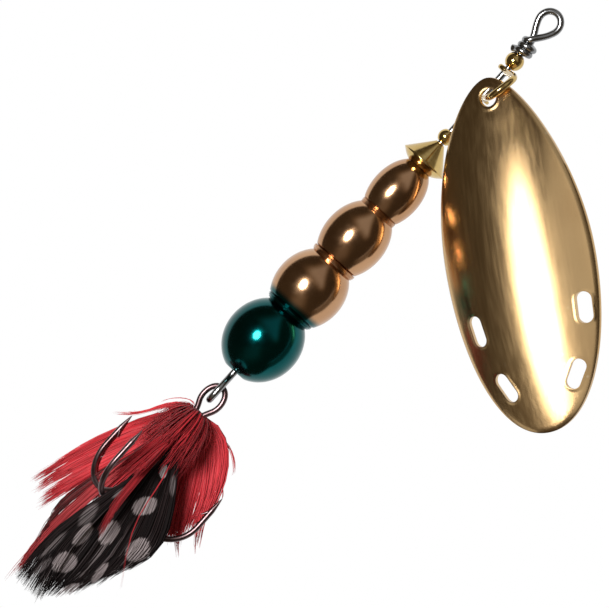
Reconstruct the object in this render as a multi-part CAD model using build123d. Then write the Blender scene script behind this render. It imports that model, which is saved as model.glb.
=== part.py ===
from build123d import *
import os
from math import cos, radians, sin, sqrt, tan

# Inline spinner, in millimetres. The shaft runs down -Z from the centre of its line-tie eye (the origin).
# -Y is the side that the blade's domed face looks to, and the blade stands out towards +X.

# Shaft wire
WIRE_R = 0.375
EYE_R = 1.22  # centreline radius of the line-tie eye
EYE_NECK_Z = -2.75  # where the eye's two legs meet
WRAP_R = 0.72  # centreline radius of the tag wrapped round the shaft
WRAP_PITCH = 0.62
WRAP_TOP_Z = -2.7
WRAP_TURNS = 2.25
SHAFT_END_Z = -50.5
LOOP_HALF = 0.95  # half width of the tail loop's centreline, across Y
LOOP_BOTTOM_Z = -53.7
LOOP_BEND_R = 0.9

# Loose beads, cone and clevis on the shaft
RUNNING_GAP = 0.08
BORE_R = WIRE_R + RUNNING_GAP
TOP_BEAD_R = 0.98
TOP_BEAD_Z = -5.4
BEARING_BEAD_R = 0.9
BEARING_BEAD_Z = -16.23
CONE_TOP_Z = -17.12
CONE_TOP_R = 0.52
CONE_RIM_Z = -19.72
CONE_RIM_R = 2.66
CONE_RIM_T = 0.12
CONE_FOOT_Z = -20.58
CONE_FOOT_R = 1.5

# Clevis, a stirrup of round wire with a flattened, drilled ear at each end
CLEVIS_R = 0.38
CLEVIS_DEPTH = 7.5
CLEVIS_TOP_Z = -6.86
CLEVIS_BOTTOM_Z = -10.62
CLEVIS_BEND_R = 1.45
CLEVIS_BOW = (1.15, 0.62)  # sideways lean of the stirrup's two front corners, in X
EAR_R = 0.98
EAR_T = 0.42

# Blade
BLADE_HANG = 51.8  # degrees between the blade's length and the shaft
BLADE_ROLL = 23.7  # degrees that the blade is turned about its length
BLADE_HOLE = (0.53, -5.75, -10.32)
BLADE_HOLE_R = 0.95
BLADE_RING_R = 1.42
BLADE_RING_H = 0.16
BLADE_T = 0.55
BLADE_TOP = -2.1  # ends of the blade along its length, from the hole's centre
BLADE_TIP = 35.8
BLADE_WIDEST = 17.65  # where the blade is widest, along its length
BLADE_HALF_W = 8.47
BLADE_TOP_FULL = (2.9, 10.8)  # reach of the rounding across the top, and back from the widest place
BLADE_TIP_FULL = (5.1, 10.0)
BLADE_ACROSS_R = 14.2
BLADE_ALONG_R = 76.0
SLOT_L = 3.35
SLOT_W = 1.55
SLOT_LIP = 0.26
SLOT_LIP_H = 0.12
SLOTS = ((24.1, -5.4, 8.5), (30.45, -3.35, 26.0), (23.4, 6.7, -4.0), (30.15, 4.5, -31.0))  # along, across, turn

# Body of four barrel beads: node, middle height, half length, radius, top and bottom height, collar radius
BODY_BEADS = (
    ("front_ball", -24.19, 4.24, 2.78, -20.62, -26.7, 0.0),
    ("second_ball", -30.76, 4.61, 3.47, -27.18, -33.75, 2.27),
    ("third_ball", -37.86, 4.59, 3.9, -34.26, -40.75, 2.8),
    ("tail_ball", -45.18, 4.72, 4.22, -41.22, -49.68, 2.98),
)

# Treble hook: two hooks bent from one wire with the eye, and a third one brazed to them
HOOK_R = 0.32
HOOK_SPREAD = 0.375  # distance of each shank from the treble's axis
HOOK_EYE_Z = -53.53
HOOK_EYE_HALF = (1.27, 1.62)  # half width and half length of the eye's centreline
HOOK_SHANK_TOP_Z = -55.2
HOOK_GAPE = 8.2
HOOK_BOTTOM_Z = -68.5
HOOK_BEND_R = 3.85
HOOK_POINT_Z = -60.6
HOOK_POINT_L = 1.7
BARB_Z = -63.2
BARB_H = 0.42
BARB_L = 1.0
BARB_T = 0.3
DOUBLE_ANGLES = (8.0, 128.0)  # directions of the hooks round the axis, from +X towards +Y
THIRD_ANGLE = 248.0

# Thread and hackle that bind the feathers to the treble's shank
THREAD_R = (0.72, 1.0)
THREAD_Z = (-55.95, -58.6)
HACKLE_Z = (-55.5, -56.6, -58.55)
HACKLE_R = (1.25, 1.95, 2.35)
HACKLE_IN_R = 1.03

# Feathers: node, quill end, tip, depth of the bow, greatest width, thickness, turn about the quill
FEATHERS = (
    ("red_feather_wisp", (-2.0, 1.0, -57.4), (-7.0, 3.4, -61.4), 0.5, 2.6, 0.2, 0.0),
    ("red_feather_upper_left", (-1.1, 2.1, -58.8), (-8.1, 10.4, -72.2), 1.2, 3.8, 0.25, 0.0),
    ("red_feather_lower_left", (-0.6, 3.0, -58.8), (-5.6, 10.9, -73.6), 1.2, 3.4, 0.25, 0.0),
    ("red_feather_edge", (-1.8, -0.3, -58.8), (-3.3, -0.4, -82.8), 0.2, 2.6, 0.25, 0.0),
    ("red_feather_upper_right", (1.85, 1.75, -57.3), (7.4, 4.0, -61.6), 0.5, 5.0, 0.25, 0.0),
    ("red_feather_right", (1.5, 2.9, -58.9), (9.0, 5.8, -68.6), 0.8, 6.6, 0.25, 0.0),
    ("red_feather_back", (0.45, 3.6, -58.8), (2.2, 7.6, -72.4), 1.1, 5.6, 0.25, 0.0),
    ("spotted_feather_front", (0.3, -1.95, -58.8), (-0.4, -2.1, -81.2), -0.1, 5.6, 0.25, 0.0),
    ("spotted_feather_right", (0.9, -1.4, -58.8), (3.9, -1.4, -76.4), 0.2, 7.2, 0.25, 0.0),
    ("spotted_feather_back", (0.1, 1.9, -58.8), (1.3, 3.2, -78.6), 0.3, 5.2, 0.25, 0.0),
)
QUILL_W = 0.7
HOOK_PARTING = 0.12  # gap that a vane keeps round a hook that passes through it


def spun(points):
    """A solid of revolution about Z from its (radius, height) corners."""
    corners = [(r, 0, z) for r, z in points]
    return revolve(make_face(Polyline(*corners, close=True)), Axis.Z)


def bored(solid, low, high, radius=BORE_R):
    """The solid with a round bore along Z between two heights."""
    return solid - Pos(0, 0, (low + high) / 2) * Cylinder(radius, high - low + 1)


def wire_along(path, radius):
    """A round wire swept along a path of lines and arcs."""
    return sweep(Plane(origin=path @ 0, z_dir=path % 0) * Circle(radius), path=path)


def rod(start, end, radius):
    """A straight round rod between two points, with ball ends."""
    run = Vector(*end) - Vector(*start)
    body = Plane(origin=start, z_dir=run) * Cylinder(radius, run.length, align=(Align.CENTER, Align.CENTER, Align.MIN))
    return body + Pos(*start) * Sphere(radius) + Pos(*end) * Sphere(radius)


def make_wire_shaft():
    """One wire: the line-tie eye, its tag wrapped round the shaft, the straight run and the tail loop."""
    touch = EYE_R / -EYE_NECK_Z
    side_x = EYE_R * sqrt(1 - touch**2)
    side_z = EYE_R * -touch
    ring = wire_along(Edge.make_three_point_arc((-side_x, 0, side_z), (0, 0, EYE_R), (side_x, 0, side_z)), WIRE_R)
    wrap_start = (0, -WRAP_R, WRAP_TOP_Z)
    legs = rod((-side_x, 0, side_z), (0, 0, EYE_NECK_Z), WIRE_R) + rod((side_x, 0, side_z), wrap_start, WIRE_R)
    height = WRAP_PITCH * WRAP_TURNS
    coil = Edge.make_helix(WRAP_PITCH, height, WRAP_R, normal=(0, 0, -1))
    wrap = Rot(0, 0, -90) * (Pos(0, 0, WRAP_TOP_Z) * wire_along(coil, WIRE_R * 0.8))
    run = rod((0, 0, EYE_NECK_Z), (0, 0, SHAFT_END_Z), WIRE_R)
    loop_path = FilletPolyline(
        (0, 0, SHAFT_END_Z),
        (0, -LOOP_HALF, SHAFT_END_Z - 1.3),
        (0, -LOOP_HALF, LOOP_BOTTOM_Z),
        (0, LOOP_HALF, LOOP_BOTTOM_Z),
        (0, LOOP_HALF, SHAFT_END_Z - 1.1),
        (0, 2.1 * WIRE_R, SHAFT_END_Z + 0.1),
        radius=[0.9, LOOP_BEND_R, LOOP_BEND_R, 0.9],
    )
    return ring + legs + wrap + run + wire_along(loop_path, WIRE_R)


def make_bead(radius, height):
    """A drilled ball with small flats where the bore breaks out."""
    flat = sqrt(radius**2 - (BORE_R + 0.06) ** 2)
    ball = Sphere(radius) & Cylinder(radius, 2 * flat)
    return Pos(0, 0, height) * bored(ball, -radius, radius)


def make_clevis():
    """The stirrup: an ear at each end and a round wire that leaves one ear, bends twice and comes back."""
    path = FilletPolyline(
        (0, -EAR_R * 0.8, CLEVIS_TOP_Z),
        (CLEVIS_BOW[0], -CLEVIS_DEPTH, CLEVIS_TOP_Z),
        (CLEVIS_BOW[1], -CLEVIS_DEPTH, BLADE_HOLE[2] + 0.06),
        (0, -EAR_R * 0.8, CLEVIS_BOTTOM_Z),
        radius=CLEVIS_BEND_R,
    )
    clevis = wire_along(path, CLEVIS_R)
    for height in (CLEVIS_TOP_Z, CLEVIS_BOTTOM_Z):
        clevis += Pos(0, 0, height) * Cylinder(EAR_R, EAR_T)
        clevis -= Pos(0, 0, height) * Cylinder(BORE_R, 4 * EAR_T)
    return clevis


def blade_sheet(lift, thickness):
    """A doubly curved sheet: the outer part of a ring torus, lifted off the blade's own surface."""
    major = BLADE_ALONG_R - BLADE_ACROSS_R
    middle = (BLADE_TOP + BLADE_TIP) / 2
    outer = Torus(major, BLADE_ACROSS_R + lift + thickness)
    inner = Torus(major, BLADE_ACROSS_R + lift)
    drop = BLADE_ALONG_R - middle**2 / (2 * BLADE_ALONG_R)
    return Pos(middle, 0, -drop) * Rot(90, 0, 0) * (outer - inner)


def blade_outline():
    """The oval outline, drawn with the length along X and the hole at the origin."""
    wide = (BLADE_WIDEST, BLADE_HALF_W)
    top_across, top_back = BLADE_TOP_FULL
    tip_across, tip_back = BLADE_TIP_FULL
    top = Bezier((BLADE_TOP, 0), (BLADE_TOP, top_across), (BLADE_WIDEST - top_back, BLADE_HALF_W), wide)
    tip = Bezier(wide, (BLADE_WIDEST + tip_back, BLADE_HALF_W), (BLADE_TIP, tip_across), (BLADE_TIP, 0))
    half = top + tip
    return make_face(half + mirror(half, Plane.XZ))


def make_blade():
    """Domed oval blade with a ringed hole near its top and four lipped slots near its tip."""
    reach = 12
    blade = extrude(blade_outline(), reach, both=True) & blade_sheet(-BLADE_T / 2, BLADE_T)
    ring = Cylinder(BLADE_RING_R, reach) & blade_sheet(BLADE_T / 2, BLADE_RING_H)
    blade += ring
    for along, across, turn in SLOTS:
        place = Pos(along, across, 0) * Rot(0, 0, turn)
        lip = place * extrude(SlotOverall(SLOT_L + 2 * SLOT_LIP, SLOT_W + 2 * SLOT_LIP), reach, both=True)
        blade += lip & blade_sheet(BLADE_T / 2, SLOT_LIP_H)
        blade -= place * extrude(SlotOverall(SLOT_L, SLOT_W), reach, both=True)
    blade -= Cylinder(BLADE_HOLE_R, reach)
    hang = radians(BLADE_HANG)
    roll = radians(BLADE_ROLL)
    length = Vector(sin(hang), 0, -cos(hang))
    facing = Vector(-cos(hang) * sin(roll), -cos(roll), -sin(hang) * sin(roll))
    return Plane(origin=BLADE_HOLE, x_dir=length, z_dir=facing) * blade


def make_cone():
    """Bearing cone: a point towards the eye, a sharp rim and a shallow reverse cone below it."""
    profile = (
        (BORE_R, CONE_TOP_Z),
        (CONE_TOP_R, CONE_TOP_Z),
        (CONE_RIM_R, CONE_RIM_Z),
        (CONE_RIM_R, CONE_RIM_Z - CONE_RIM_T),
        (CONE_FOOT_R, CONE_FOOT_Z),
        (BORE_R, CONE_FOOT_Z),
    )
    return spun(profile)


def make_body_bead(middle, half_length, radius, top, bottom, collar_r):
    """A barrel bead: an ellipsoid cut flat at both ends, with a short collar above its top end."""
    barrel = Pos(0, 0, middle) * scale(Sphere(1), (radius, radius, half_length))
    band = Pos(0, 0, (top + bottom) / 2) * Cylinder(radius + 1, top - bottom)
    bead = barrel & band
    collar_top = top
    if collar_r:
        collar_top = top + 0.46
        bead += Pos(0, 0, (top + collar_top) / 2) * Cylinder(collar_r, collar_top - top)
    return bored(bead, bottom, collar_top)


def hook_bend(radius):
    """A hook's shank and round bend at a given wire radius, standing out towards +X."""
    path = FilletPolyline(
        (HOOK_SPREAD, 0, HOOK_SHANK_TOP_Z),
        (HOOK_SPREAD, 0, HOOK_BOTTOM_Z),
        (HOOK_GAPE, 0, HOOK_BOTTOM_Z),
        (HOOK_GAPE, 0, HOOK_POINT_Z - HOOK_POINT_L),
        radius=HOOK_BEND_R,
    )
    return wire_along(path, radius)


def make_hook(angle):
    """One hook of the treble: shank, round bend, barb and tapered point, standing out at an angle."""
    hook = hook_bend(HOOK_R)
    taper = Cone(HOOK_R, 0.04, HOOK_POINT_L, align=(Align.CENTER, Align.CENTER, Align.MIN))
    hook += Pos(HOOK_GAPE, 0, HOOK_POINT_Z - HOOK_POINT_L) * taper
    barb_x = HOOK_GAPE - HOOK_R
    barb = Polyline(
        (barb_x + 0.2, 0, BARB_Z + BARB_L),
        (barb_x - BARB_H, 0, BARB_Z),
        (barb_x + 0.2, 0, BARB_Z + 0.15),
        close=True,
    )
    hook += extrude(make_face(barb), BARB_T / 2, dir=(0, 1, 0), both=True)
    return Rot(0, 0, angle) * hook


def make_double_hook():
    """Two hooks and the eye that their one wire forms."""
    half_w, half_l = HOOK_EYE_HALF
    oval = Plane.XZ * Ellipse(half_w, half_l)
    ring_path = oval.face().outer_wire()
    eye = Pos(0, 0, HOOK_EYE_Z) * wire_along(ring_path, HOOK_R)
    for angle in DOUBLE_ANGLES:
        eye += make_hook(angle)
    return eye


def make_third_hook():
    """The hook that is brazed into the valley between the other two."""
    return make_hook(THIRD_ANGLE) - Pos(0, 0, HOOK_EYE_Z) * Box(4, 4, 2 * HOOK_EYE_HALF[1] + 1.1)


def make_whipping_thread():
    """The thread wound round the three shanks, as a sleeve with a rounded outside."""
    inner, outer = THREAD_R
    top, bottom = THREAD_Z
    ease = 0.12
    return spun(
        (
            (inner, top),
            (outer - ease, top),
            (outer, top - ease),
            (outer, bottom + ease),
            (outer - ease, bottom),
            (inner, bottom),
        )
    )


def make_hackle_collar():
    """The ruff of soft red hackle round the thread, as one flared sleeve."""
    top, knee, bottom = HACKLE_Z
    r_top, r_knee, r_bottom = HACKLE_R
    return spun(
        ((HACKLE_IN_R, top), (r_top, top), (r_knee, knee), (r_bottom, bottom), (HACKLE_IN_R, bottom)),
    )


def vane_outline(length, width):
    """A feather's outline along X: a narrow quill end, full past the middle, and a blunt tip."""
    half = width / 2
    points = (
        (0, QUILL_W / 2),
        (0.28 * length, 0.62 * half),
        (0.62 * length, half),
        (0.9 * length, 0.7 * half),
        (length, 0.12 * half),
    )
    upper = Spline(*points)
    lower = Spline(*((x, -y) for x, y in points))
    ends = Line(points[-1], (length, -points[-1][1])) + Line((0, -QUILL_W / 2), points[0])
    return make_face(upper + lower + ends)


def make_feather(quill, tip, bow, width, thickness, turn):
    """A vane that bows away from its chord: a bent strip cut to the feather's outline."""
    run = Vector(*tip) - Vector(*quill)
    facing = Vector(0, -1, 0)
    facing = (facing - run.normalized() * facing.dot(run.normalized())).normalized()
    length = run.length
    under = ThreePointArc((0, 0), (length / 2, -bow), (length, 0))
    over = ThreePointArc((0, thickness), (length / 2, thickness - bow), (length, thickness))
    ends = Line((0, 0), (0, thickness)) + Line((length, 0), (length, thickness))
    strip = extrude(Plane.XZ * make_face(under + over + ends), width, both=True)
    vane = strip & extrude(vane_outline(length, width), abs(bow) + 1, both=True)
    return Plane(origin=quill, x_dir=run, z_dir=facing) * (Rot(turn, 0, 0) * vane)


def parted(vane):
    """The vane with its barbs parted wherever a hook passes through it."""
    for angle in (*DOUBLE_ANGLES, THIRD_ANGLE):
        vane -= Rot(0, 0, angle) * hook_bend(HOOK_R + HOOK_PARTING)
    return max(vane.solids(), key=lambda solid: solid.volume)


def write(name, shape):
    """Writes one sub-part's solid as parts/NAME.step."""
    export_step(shape.solids()[0], f"parts/{name}.step")


def main():
    os.makedirs("parts", exist_ok=True)
    write("wire_shaft", make_wire_shaft())
    write("top_bead", make_bead(TOP_BEAD_R, TOP_BEAD_Z))
    write("clevis", make_clevis())
    write("blade", make_blade())
    write("bearing_bead", make_bead(BEARING_BEAD_R, BEARING_BEAD_Z))
    write("cone", make_cone())
    for name, *sizes in BODY_BEADS:
        write(name, make_body_bead(*sizes))
    write("double_hook", make_double_hook())
    write("third_hook", make_third_hook())
    write("whipping_thread", make_whipping_thread())
    write("hackle_collar", make_hackle_collar())
    for name, *shape in FEATHERS:
        write(name, parted(make_feather(*shape)))


main()
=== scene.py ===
import math

import bpy
import numpy as np
from bpy.props import FloatProperty, FloatVectorProperty, IntProperty, PointerProperty
from mathutils import Matrix, Vector
from mathutils.geometry import delaunay_2d_cdt


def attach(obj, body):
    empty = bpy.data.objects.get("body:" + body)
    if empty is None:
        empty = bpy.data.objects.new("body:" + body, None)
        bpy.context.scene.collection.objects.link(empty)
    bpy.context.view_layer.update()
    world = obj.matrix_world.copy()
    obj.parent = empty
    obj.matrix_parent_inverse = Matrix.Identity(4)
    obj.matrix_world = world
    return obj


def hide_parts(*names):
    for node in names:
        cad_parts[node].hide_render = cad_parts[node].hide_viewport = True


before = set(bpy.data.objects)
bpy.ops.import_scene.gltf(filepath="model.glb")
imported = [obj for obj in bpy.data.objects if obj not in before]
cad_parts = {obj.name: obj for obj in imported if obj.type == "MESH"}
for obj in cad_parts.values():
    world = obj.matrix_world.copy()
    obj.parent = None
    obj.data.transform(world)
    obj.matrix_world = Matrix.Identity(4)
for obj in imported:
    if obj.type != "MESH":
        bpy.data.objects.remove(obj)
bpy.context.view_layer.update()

bl_info = {
    "name": "Inline spinner",
    "version": (1, 0, 0),
    "blender": (4, 5, 0),
    "location": "3D View > Sidebar > Spinner",
    "description": "Dresses the packed inline spinner: wire, beads, blade, weight, treble and feathers",
    "category": "Object",
}

MM = 0.001

# The camera's right, up and back directions, and the middle (X and Z) and width of its picture in metres
VIEW = ((0.7427, 0.0, 0.6699), (-0.6699, 0.0, 0.7427), (0.0, -1.0, 0.0))
VIEW_MIDDLE = (0.00069, -0.03941)
VIEW_WIDTH = 0.06455

# Lamps, aimed at one place in the lure: name, width and height, place across and up, distance, power, and
# whether each lights everything but the blade or only the blade
LAMP_AIM = (0.004, 0.0, -0.03)
LAMPS = (
    ("key_light", (0.16, 0.17), (-0.33, 0.235), 0.5, 3.3, "EXCLUDE"),
    ("blade_card", (0.25, 0.37), (-0.41, -0.225), 0.45, 1.8, "INCLUDE"),
    ("blade_fill", (0.5, 0.8), (0.22, -0.2), 0.6, 0.55, "INCLUDE"),
)
FLOOR_R = 0.14
FLOOR_HEIGHT = -0.6

# All the sizes below are in millimetres.
# Shaft: the wrap at the line tie, and each eye's middle height, half width and half length
WRAP_R = 0.75
WRAP_PITCH = 0.66
LINE_EYE = (0.1, 1.21, 1.28)
TAIL_LOOP = (-52.85, 0.95, 0.85)

# Beads as radius, top and bottom; the bores through them and through the cone and weight; the clevis
UPPER_BEAD = (1.02, -4.38, -6.42)
LOWER_BEAD = (0.9, -15.33, -17.13)
BEAD_BORE_R = 0.45
BORE_R = 0.46
CLEVIS_WIRE_R = 0.38
CLEVIS_EARS = ((-6.78, 0.27), (-10.62, 0.2))  # middle height and half thickness

# Blade, in its own plane: the first number runs from the hole to the tip, the second across it, and
# heights stand off the hole's tangent plane.
BLADE_HOLE_AT = (0.53, -5.75, -10.32)
BLADE_HANG = math.radians(51.8)
BLADE_ROLL = math.radians(23.7)
BLADE_ENDS = (-2.1, 35.8)
BLADE_WIDEST = 17.65
BLADE_HALF_W = 8.47
BLADE_TOP_FULL = (2.9, 10.8)
BLADE_TIP_FULL = (5.1, 10.0)
BLADE_ACROSS_R = 14.2
BLADE_ALONG_R = 76.0
HOLE_R = 0.95
SLOT_HALF = (0.9, 0.775)  # half the straight run, and the end's radius
# Mesh of the blade: the inner points' reach along and across, and how far the rows of points beside the
# rim, the hole and the slots stand off them
BLADE_GRID = ((-1.95, 35.8), (-8.4, 8.45))
RIM_ROWS = (0.1, 0.22, 0.36, 0.5)
HOLE_ROWS = (0.14, 0.3, 0.46, 0.65)
SLOT_ROWS = (0.12, 0.26, 0.42)
RIM_CLEAR = 0.62
HOLE_CLEAR = 0.8
SLOT_CLEAR = 0.55
# Slots: middle along and across, and lean in degrees
SLOTS = ((24.1, -5.4, 8.5), (30.45, -3.35, 26.0), (23.4, 6.7, -4.0), (30.15, 4.5, -31.0))

# Treble: distance of the shanks and of the points from the middle line, heights of the bends' floor and of
# the points' tips, and the eye's middle height, half width and half length
HOOK_SPREAD = 0.375
HOOK_BEND_R = 3.85
HOOK_OUT = 8.2
HOOK_FLOOR = -68.5
HOOK_TIP = -60.6
HOOK_EYE = (-53.5, 1.14, 1.7)
HOOK_EYE_SET = 0.18  # how far the eye stands off the shaft line
HOOK_ANGLES = (8, 128, 248)
HOOK_NEEDLE = 1.7  # length of the tapered point
HOOK_SHANK_TOP = -56.1

# Weight: range of its roughness, and the narrowest foot that has a recess
WEIGHT_GLOSS = (0.14, 0.19)
RECESS_FROM = 2.0

# Dressing
THREAD_R = 0.11
FIBRE_HALF_T = 0.02
FAN_STEPS = 9
RUFF_STEPS = 8


# ---------------------------------------------------------------- surfaces

def closed_grid(rows, cols, wrap_rows):
    """Four-sided faces of a grid that closes on itself across its columns, and along its rows if asked."""
    i = np.arange(rows if wrap_rows else rows - 1)[:, None]
    j = np.arange(cols)[None, :]
    a = i * cols + j
    b = i * cols + (j + 1) % cols
    up = ((i + 1) % rows) * cols
    c = up + (j + 1) % cols
    d = up + j
    return np.stack([a, b, c, d], -1).reshape(-1, 4)


def lathe(profile, segments):
    """A closed profile of (radius, height) corners turned about Z: x = r cos a, y = r sin a, z = h."""
    ring = np.asarray(profile, float)
    turn = np.linspace(0, 2 * np.pi, segments, endpoint=False)
    x = ring[:, :1] * np.cos(turn)
    y = ring[:, :1] * np.sin(turn)
    z = np.repeat(ring[:, 1:], segments, 1)
    verts = np.stack([x, y, z], -1).reshape(-1, 3)
    return verts, closed_grid(len(ring), segments, True), np.zeros((0, 3), int)


def run_along(path):
    """The distance along a path at each of its points."""
    return np.concatenate([[0], np.cumsum(np.linalg.norm(np.diff(path, axis=0), axis=1))])


def evenly(path, count):
    """The same path with its points spaced evenly along its length."""
    path = np.asarray(path, float)
    run = run_along(path)
    at = np.linspace(0, run[-1], count)
    return np.stack([np.interp(at, run, path[:, k]) for k in range(3)], 1)


def eased(path, width):
    """The path with its corners rounded off: each point moves to the mean of its neighbours within width."""
    pad = np.concatenate([np.repeat(path[:1], width, 0), path, np.repeat(path[-1:], width, 0)])
    kernel = np.ones(2 * width + 1) / (2 * width + 1)
    out = np.stack([np.convolve(pad[:, k], kernel, "valid") for k in range(3)], 1)
    out[0], out[-1] = path[0], path[-1]
    return out


def frames(path):
    """Tangent and two square directions at each point, each frame turned only as far as the path bends."""
    tangent = np.gradient(path, axis=0)
    tangent /= np.linalg.norm(tangent, axis=1)[:, None]
    side = np.zeros_like(tangent)
    start = np.cross(tangent[0], (0.3, 1.0, 0.2))
    side[0] = start / np.linalg.norm(start)
    for k in range(1, len(path)):
        s = side[k - 1] - tangent[k] * (side[k - 1] @ tangent[k])
        side[k] = s / np.linalg.norm(s)
    return tangent, side, np.cross(tangent, side)


def carried(path, radius, sides):
    """A round section carried along a path: point + r (cos a side + sin a up), with a pole at each end."""
    path = np.asarray(path, float)
    tangent, side, up = frames(path)
    radius = np.broadcast_to(np.asarray(radius, float), (len(path),))
    turn = np.linspace(0, 2 * np.pi, sides, endpoint=False)[None, :, None]
    ring = np.cos(turn) * side[:, None] + np.sin(turn) * up[:, None]
    body = (path[:, None] + radius[:, None, None] * ring).reshape(-1, 3)
    first, last = len(body), len(body) + 1
    poles = (path[0] - tangent[0] * radius[0] * 0.35, path[-1] + tangent[-1] * radius[-1] * 0.35)
    j = np.arange(sides)
    k = (j + 1) % sides
    base = (len(path) - 1) * sides
    start_cap = np.stack([np.full(sides, first), k, j], 1)
    end_cap = np.stack([np.full(sides, last), base + j, base + k], 1)
    return np.vstack([body, *poles]), closed_grid(len(path), sides, False), np.vstack([start_cap, end_cap])


def together(shapes):
    """Several shapes as one."""
    verts, quads, tris, base = [], [], [], 0
    for v, q, t in shapes:
        verts.append(v)
        quads.append(q + base)
        tris.append(t + base)
        base += len(v)
    return np.vstack(verts), np.vstack(quads), np.vstack(tris)


def outward(verts, quads, tris):
    """The faces turned so that the volume they enclose is positive."""
    every = np.vstack([quads[:, [0, 1, 2]], quads[:, [0, 2, 3]], tris])
    a, b, c = verts[every[:, 0]], verts[every[:, 1]], verts[every[:, 2]]
    if np.einsum("ij,ij->i", a, np.cross(b, c)).sum() < 0:
        return quads[:, ::-1], tris[:, ::-1]
    return quads, tris


def put(name, shape, material, body, node, crease=None, fibre=None):
    """A mesh object from arrays in millimetres that rides on a body and stands for a CAD node."""
    verts, quads, tris = shape
    quads, tris = outward(verts, quads, tris)
    mesh = bpy.data.meshes.new(name)
    mesh.vertices.add(len(verts))
    mesh.vertices.foreach_set("co", (verts * MM).astype(np.float32).ravel())
    loops = np.concatenate([quads.ravel(), tris.ravel()])
    mesh.loops.add(len(loops))
    mesh.loops.foreach_set("vertex_index", loops.astype(np.int32))
    starts = np.concatenate([np.arange(len(quads)) * 4, len(quads) * 4 + np.arange(len(tris)) * 3])
    mesh.polygons.add(len(starts))
    mesh.polygons.foreach_set("loop_start", starts.astype(np.int32))
    mesh.update(calc_edges=True)
    mesh.validate()
    mesh.polygons.foreach_set("use_smooth", np.ones(len(mesh.polygons), bool))
    if crease:
        mesh.set_sharp_from_angle(angle=math.radians(crease))
    if fibre is not None:
        layer = mesh.attributes.new("fibre", "FLOAT", "POINT")
        layer.data.foreach_set("value", fibre.astype(np.float32))
    mesh.materials.append(material)
    obj = bpy.data.objects.new(name, mesh)
    bpy.context.scene.collection.objects.link(obj)
    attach(obj, body)
    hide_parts(node)
    return obj


# ---------------------------------------------------------------- materials

def scaled(colour, share):
    """A colour at this share of its brightness."""
    return tuple(share * c for c in colour)


class Wiring:
    """A material's nodes, added and linked in short calls."""

    def __init__(self, name):
        self.material = bpy.data.materials.new(name)
        self.material.use_nodes = True
        self.tree = self.material.node_tree
        self.tree.nodes.clear()
        self.out = self.tree.nodes.new("ShaderNodeOutputMaterial")
        self.coords = self.tree.nodes.new("ShaderNodeTexCoord").outputs["Object"]

    def node(self, kind, inputs=(), **settings):
        """A node with these inputs linked or set."""
        made = self.tree.nodes.new(kind)
        for key, value in settings.items():
            setattr(made, key, value)
        for key, value in dict(inputs).items():
            if isinstance(value, bpy.types.NodeSocket):
                self.tree.links.new(value, made.inputs[key])
            else:
                made.inputs[key].default_value = value
        return made

    def noise(self, scale, detail=3.0, stretch=(1, 1, 1)):
        """Noise on object coordinates, in features per metre, drawn out by stretch."""
        spread = self.node("ShaderNodeMapping", {"Vector": self.coords, "Scale": stretch})
        field = {"Vector": spread.outputs[0], "Scale": scale, "Detail": detail}
        return self.node("ShaderNodeTexNoise", field).outputs["Fac"]

    def ramp(self, factor, stops):
        """Colours at these places, blended between them."""
        made = self.node("ShaderNodeValToRGB", {"Fac": factor})
        ramp = made.color_ramp
        while len(ramp.elements) < len(stops):
            ramp.elements.new(0.5)
        for element, (place, colour) in zip(ramp.elements, stops):
            element.position = place
            element.color = (*colour, 1.0)
        return made.outputs["Color"]

    def span(self, value, low, high, to_low, to_high, smooth=False):
        """One range carried over to another and cut off at its ends."""
        kind = "SMOOTHSTEP" if smooth else "LINEAR"
        field = {"Value": value, "From Min": low, "From Max": high, "To Min": to_low, "To Max": to_high}
        return self.node("ShaderNodeMapRange", field, interpolation_type=kind).outputs["Result"]

    def mix(self, factor, a, b):
        """Two colours mixed, each a socket or plain red, green and blue."""
        a, b = (c if isinstance(c, bpy.types.NodeSocket) else (*c, 1.0) for c in (a, b))
        return self.node("ShaderNodeMix", {0: factor, 6: a, 7: b}, data_type="RGBA").outputs[2]

    def math(self, kind, a, b):
        return self.node("ShaderNodeMath", {0: a, 1: b}, operation=kind).outputs[0]

    def bump(self, height, distance, strength):
        field = {"Height": height, "Distance": distance, "Strength": strength}
        return self.node("ShaderNodeBump", field).outputs[0]

    def finish(self, **sockets):
        """The surface shader with these sockets set or linked."""
        shader = self.node("ShaderNodeBsdfPrincipled", {k.replace("_", " "): v for k, v in sockets.items()})
        self.tree.links.new(shader.outputs[0], self.out.inputs[0])
        return self.material


class WorldWiring(Wiring):
    """The surroundings' nodes, added and linked by the same short calls."""

    def __init__(self, world):
        world.use_nodes = True
        self.tree = world.node_tree
        self.tree.nodes.clear()
        self.coords = self.tree.nodes.new("ShaderNodeTexCoord").outputs["Generated"]

    def along(self, axis):
        """How far each direction points along an axis."""
        field = {0: self.coords, 1: axis}
        return self.node("ShaderNodeVectorMath", field, operation="DOT_PRODUCT").outputs["Value"]

    def step(self, value, low, high, start=0, end=1):
        """A soft step between two places."""
        return self.span(value, low, high, start, end, True)

    def times(self, first, *others):
        """The product of several values."""
        for other in others:
            first = self.math("MULTIPLY", first, other)
        return first

    def band(self, value, low, high, soft):
        """1 between two places and 0 outside them, with soft edges."""
        rise = self.step(value, low - soft, low + soft)
        return self.times(rise, self.step(value, high - soft, high + soft, 1, 0))


def polished(name, pale, deep, gloss, blemish=900.0, lines=(1, 1, 1)):
    """Polished metal: its colour drifts between two tones, with faint hairlines and a gloss that varies."""
    w = Wiring(name)
    hair = w.noise(blemish * 3.0, 2.0, lines)
    colour = w.ramp(w.noise(blemish * 0.3), ((0.3, deep), (0.7, pale)))
    rough = w.span(hair, 0.3, 0.75, *gloss)
    return w.finish(Base_Color=colour, Metallic=1.0, Roughness=rough, Normal=w.bump(hair, 0.000002, 0.6))


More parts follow.
